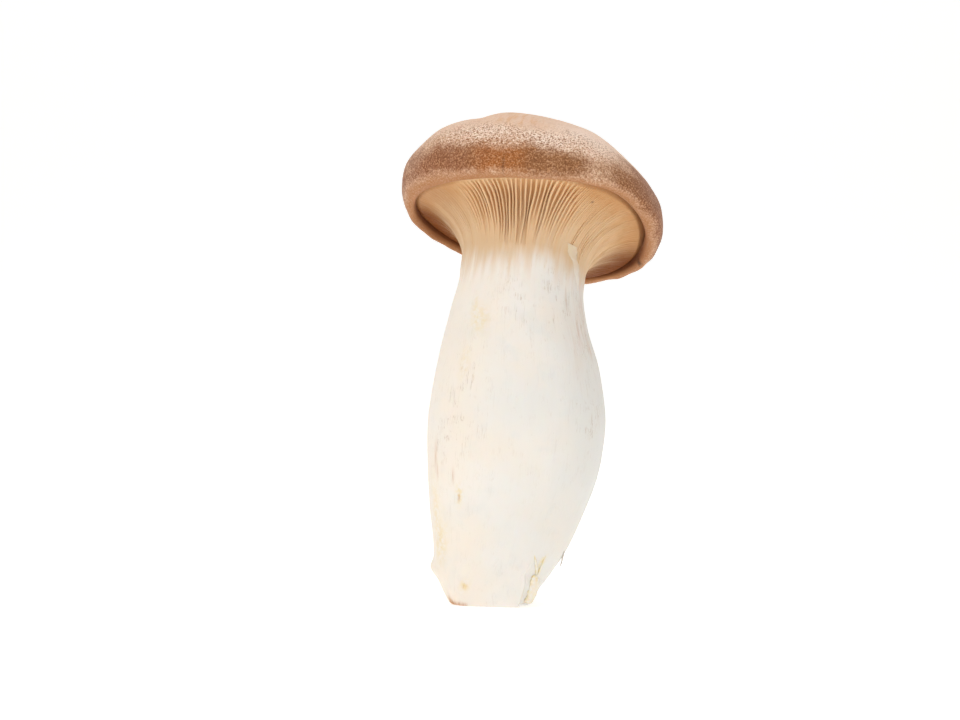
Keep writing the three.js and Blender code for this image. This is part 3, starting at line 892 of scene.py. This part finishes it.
def build_cap(material):
    angle = np.linspace(0, 2 * pi, CAP_COLUMNS, endpoint=False)[None]
    radius, height = (values[:, 0] for values in cap_rings(angle))
    angle = np.broadcast_to(angle, radius.shape)
    points = cap_point(angle, radius, height)
    path = path_lengths(points) - path_lengths(points)[GROOVE_ROWS - 1]
    outward = grid_normals(points)
    held = smooth_step(0, 1.2, path + 1.5)
    relief = 0.14 * noise(points, 11, 2, 41) + 0.05 * noise(points, 2.6, 2, 43) - 0.15
    relief = relief + 0.022 * noise(points, 0.9, 1, 44)
    near_margin = smooth_step(9, 0, np.abs(path))
    relief = relief + 0.3 * near_margin * (noise(points, 6.5, 2, 47) - 0.4)
    for towards, tall, half_width, half_height, lift in CAP_SWELLINGS:
        place = [(towards, tall, half_width, half_height, 1.0)]
        relief = relief + lift * marks(angle, height, place, radius)
    crease = marks(angle, height, [CAP_CREASE], CAP_USUAL_RADIUS)
    relief = relief - 0.22 * crease
    blemish = marks(angle, height, [CAP_BLEMISH], CAP_USUAL_RADIUS)
    relief = (relief - 0.3 * blemish) * held
    points = points + outward * relief[..., None]

    pit = 0.85 * marks(angle, path, [LIP_FOLD], LIP_USUAL_RADIUS)
    lumps = noise(points, 6, 2, 51)
    front = np.cos(angle_off(angle, 4.5))
    side = np.cos(angle)
    wide_lip = 1.6 * smooth_step(0.2, 0.9, -side) + 0.7 * smooth_step(0.1, 0.8, side) - 0.5
    reach = path - wide_lip + 0.9 * lumps
    left = smooth_step(4.05, 3.6, angle) * smooth_step(2.2, 2.8, angle)
    band = smooth_step(-0.8, 4.4, reach) * smooth_step(13.0 + 4 * left, 5.5 - 2 * left, reach)
    worn = round_at(angle, 5.17, 0.17)
    band = band * (1 - 0.75 * worn) * (1 - 0.25 * left)
    edge = smooth_step(0.5, 0.85, side) * smooth_step(0.8, 3.6, reach) * smooth_step(19, 12, reach)
    band = np.maximum(band, 0.95 * edge)
    speckled = 0.1 + 0.9 * smooth_step(26, 15, reach + 4 * smooth_step(0.2, 0.8, side) + 2 * lumps)
    speckled = speckled * (0.22 + 0.78 * smooth_step(-0.4, 2.8, reach))
    # Painted highlight: a band across the upper front slope where the glints are whitened and the
    # specks strengthened.
    painted_highlight = smooth_step(7.5, 11.5, reach) * smooth_step(22, 16, reach + 2 * lumps)
    painted_highlight = painted_highlight * smooth_step(3.7, 4.1, angle) * smooth_step(5.5, 4.9, angle)
    plum = smooth_step(0.1, 0.75, -side + 0.2 * lumps) * smooth_step(-1, 0.2, front)
    in_groove = smooth_step(0.15, 0.6, groove_depth(angle) - 1.15)
    masks = {
        "band": np.clip(band + 0.1 * smooth_step(24, 8, reach), 0, 1),
        "margin": smooth_step(3.4, -0.6, reach),
        "speckled": speckled * smooth_step(-1.5, -0.5, path),
        "painted_highlight": painted_highlight,
        "bloom": marks(angle, height, CAP_BLOOMS, radius) * smooth_step(6, 9, reach),
        "honey": marks(angle, height + 1.5 * lumps, CAP_HONEYS, radius),
        "pale": smooth_step(6, 24, reach),
        "crown": smooth_step(12, 58, reach + 3 * lumps),
        "rust": round_at(angle, 4.42, 0.2) + 0.6 * round_at(angle, 1.9, 0.6),
        "plum": np.maximum(0.8 * plum, 0.6 * edge),
        "umber": 0.75 * round_at(angle, 5.0, 0.42) + 0.4 * round_at(angle, 0.6, 0.5),
        "shade": 0.8 * behind_share(angle) * smooth_step(-1.4, -2.6, path),
        # Painted shadow on the groove's inner wall, where the groove is deep.
        "groove": smooth_step(-0.9, -2.2, path) * in_groove,
        "spot": np.clip(0.5 * crease + 0.35 * blemish + pit, 0, 1),
        "grain": np.stack([30 * np.cos(angle), 30 * np.sin(angle), path * 0.25], -1),
    }
    crown = cap_point(0, 0, CROWN_HEIGHT)
    crown = crown + CAP_AXES[2] * 0.1 * noise(crown, 11, 2, 41)
    closed_piece("cap", points, masks, points[0].mean(0), crown, material)


# Torn flakes of skin: angle, place along the wall, half width, thickness and lift off it
FLAKES = {
    "neck_flake": [
        (5.8, -1.1, 0.8, 0.1, -0.12), (5.74, -0.6, 1.5, 0.2, -0.13),
        (5.66, -0.15, 1.9, 0.24, -0.13), (5.55, 0.07, 1.8, 0.24, -0.05),
        (5.47, 0.18, 1.4, 0.16, 0.1),
    ],
    "foot_strip": [
        (5.76, -9.62, 3.9, 0.9, -0.2), (5.7, -9.1, 3.8, 1.0, -0.2), (5.56, -8.5, 2.9, 0.8, -0.2),
        (5.46, -8.15, 1.9, 0.6, -0.2), (5.41, -7.93, 0.9, 0.4, -0.2),
    ],
    "foot_slit": [
        (5.46, -8.02, 0.2, 0.1, -0.3), (5.4, -7.75, 0.5, 0.35, -0.25),
        (5.3, -7.4, 0.45, 0.35, -0.22), (5.2, -7.05, 0.08, 0.1, -0.2),
    ],
    "foot_fold": [
        (5.56, -8.6, 0.15, 0.1, -0.4), (5.49, -8.0, 0.5, 0.3, -0.25),
        (5.45, -7.5, 0.4, 0.28, -0.2), (5.41, -7.05, 0.08, 0.1, -0.2),
    ],
    "foot_sliver": [
        (5.95, -7.05, 0.4, 0.2, -0.15), (6.04, -7.24, 0.5, 0.2, 0.05),
        (6.09, -7.42, 0.4, 0.17, 0.55), (6.11, -7.6, 0.14, 0.1, 1.0),
    ],
}
FLAKE_STAINS = {"neck_flake": 0.1, "foot_strip": 0.55, "foot_slit": 0.6, "foot_fold": 0.8}
FLAKE_SPOTS = {"foot_sliver": 0.4}


def build_flakes(material):
    """Small torn strips that lie along the wall, thickest in the middle, with ragged sides."""
    for number, (name, spine) in enumerate(FLAKES.items()):
        knots = np.linspace(0, 1, len(spine))
        share = np.linspace(0, 1, FLAKE_ROWS)
        values = [np.interp(share, knots, column) for column in zip(*spine)]
        blur = np.hanning(9) / np.hanning(9).sum()
        values = [np.convolve(np.pad(value, 4, mode="edge"), blur, "valid") for value in values]
        angle, along, half_width, thickness, lift = values
        middle = wall_point(angle, along)
        axis_x = station_at(LAST_STATION + np.minimum(along, 0))[1]
        radius = np.hypot(middle[:, 0] - axis_x, middle[:, 1])
        turn = np.linspace(0, 2 * pi, FLAKE_COLUMNS, endpoint=False)
        ragged = 1 + 0.16 * noise(stacked(share[:, None] * 9, np.cos(turn) * 0.6, number), 1, 3, 61)
        across = half_width[:, None] * np.cos(turn) * ragged
        upward = lift[:, None] + thickness[:, None] * np.sin(turn)
        round_wall = angle[:, None] - across / radius[:, None]
        rings = wall_point(round_wall, along[:, None])
        upward = upward + 0.05 * noise(rings, 0.9, 2, 67)
        rings = rings - wall_inward(round_wall, along[:, None]) * upward[..., None]
        rings[..., 2] = np.maximum(rings[..., 2], 0.15)
        flat = np.broadcast_to(angle[:, None], rings.shape[:2])
        masks = stem_masks(flat, rings, np.broadcast_to(along[:, None], flat.shape))
        masks["grain"] = stacked(across * 3, upward * 3, path_lengths(middle[:, None]) * 0.3)
        end = np.exp(-(((share[:, None] - 0.85) / 0.12) ** 2))
        rim = np.abs(np.cos(turn)) ** 3
        masks["stain"] = FLAKE_STAINS.get(name, 0.0) * (0.6 + 0.7 * rim + end)
        masks["neck"] = 0.66 * masks["neck"]
        # The flakes take a share of the stem's painted shade and an even share of its painted
        # light.
        masks["painted_shade_and_grey"] = 0.3 * masks["painted_shade_and_grey"]
        masks["painted_light"] = np.full(flat.shape, 0.4)
        masks["gill"] = np.zeros(flat.shape)
        masks["spot"] = np.full(flat.shape, FLAKE_SPOTS.get(name, 0.0))
        closed_piece(name, rings, masks, rings[0].mean(0), rings[-1].mean(0), material)


FLOOR_SURFACE = {
    "Base Color": colour(250, 249, 247),
    "Roughness": 0.9,
    "Emission Color": (1.0, 1.0, 1.0, 1.0),
    "Emission Strength": 0.36,
}


def build_floor():
    """A pale sweep: a level floor that curves up behind into a wall."""
    bend, half_width, depth, height = 0.7, 3.0, 1.6, 2.6
    profile = [(-3.0, 0.0), (depth - bend, 0.0)]
    for turn in np.linspace(0, pi / 2, 25)[1:]:
        profile.append((depth - bend + bend * np.sin(turn), bend - bend * np.cos(turn)))
    profile.append((depth, height))
    points = [(side * half_width, y, z) for y, z in profile for side in (-1, 1)]
    faces = [(2 * i, 2 * i + 1, 2 * i + 3, 2 * i + 2) for i in range(len(profile) - 1)]
    mesh = bpy.data.meshes.new("studio_sweep")
    mesh.from_pydata(points, [], faces)
    mesh.polygons.foreach_set("use_smooth", [True] * len(faces))
    mesh.materials.append(Skin("studio_white", FLOOR_SURFACE).material)
    sweep = bpy.data.objects.new("studio_sweep", mesh)
    bpy.context.scene.collection.objects.link(sweep)


def aimed(place, target, roll=0.0):
    """A turn that points -Z from one place to another, rolled about that line."""
    forward = (Vector(target) - Vector(place)).normalized()
    right = forward.cross(Vector((0, 0, 1))).normalized()
    up = right.cross(forward)
    turned = Matrix.Rotation(-roll, 3, forward)
    right, up = turned @ right, turned @ up
    whole = Matrix((right, up, -forward)).transposed().to_4x4()
    whole.translation = Vector(place)
    return whole


# Lights, in metres: name, place, size, watts and colour, all aimed at the target
LIGHT_TARGET = (0.005, 0, 0.08)
LIGHTS = [
    ("key", (-0.45, -0.75, 0.85), 0.7, 5.0, (1.0, 0.995, 0.985)),
    ("fill", (0.8, -0.6, 0.35), 0.9, 1.4, (0.97, 0.985, 1.0)),
    ("top", (0.1, 0.25, 1.1), 0.8, 2.4, (1.0, 1.0, 1.0)),
]
AIR_STRENGTH = 0.42

CAMERA_PLACE = (-0.00484, -0.5227, 0.080)
CAMERA_TARGET = (-0.00484, 0, 0.06757)
CAMERA_ROLL = radians(2)
CAMERA_LENS = 70


def build_lights():
    for name, place, size, watts, tint in LIGHTS:
        lamp = bpy.data.lights.new(name, "AREA")
        lamp.shape = "SQUARE"
        lamp.size = size
        lamp.energy = watts
        lamp.color = tint
        holder = bpy.data.objects.new(name, lamp)
        holder.matrix_world = aimed(place, LIGHT_TARGET)
        bpy.context.scene.collection.objects.link(holder)
    world = bpy.data.worlds.new("studio_air")
    world.use_nodes = True
    world.node_tree.nodes["Background"].inputs["Color"].default_value = (1.0, 1.0, 1.0, 1.0)
    world.node_tree.nodes["Background"].inputs["Strength"].default_value = AIR_STRENGTH
    bpy.context.scene.world = world
    bpy.context.scene.view_settings.view_transform = "Standard"


def build_camera():
    """The photograph's view: level with the stem, a little above the middle."""
    camera = bpy.data.cameras.new("camera")
    camera.lens = CAMERA_LENS
    camera.sensor_width = 36
    camera.clip_start = 0.01
    holder = bpy.data.objects.new("camera", camera)
    holder.matrix_world = aimed(CAMERA_PLACE, CAMERA_TARGET, CAMERA_ROLL)
    bpy.context.scene.collection.objects.link(holder)
    bpy.context.scene.camera = holder


flesh = flesh_skin()
stem_angles, stem_lengths = build_stem(flesh)
build_gills(flesh, stem_angles, stem_lengths)
build_flakes(flesh)
build_cap(cap_skin())
build_floor()
build_lights()
build_camera()
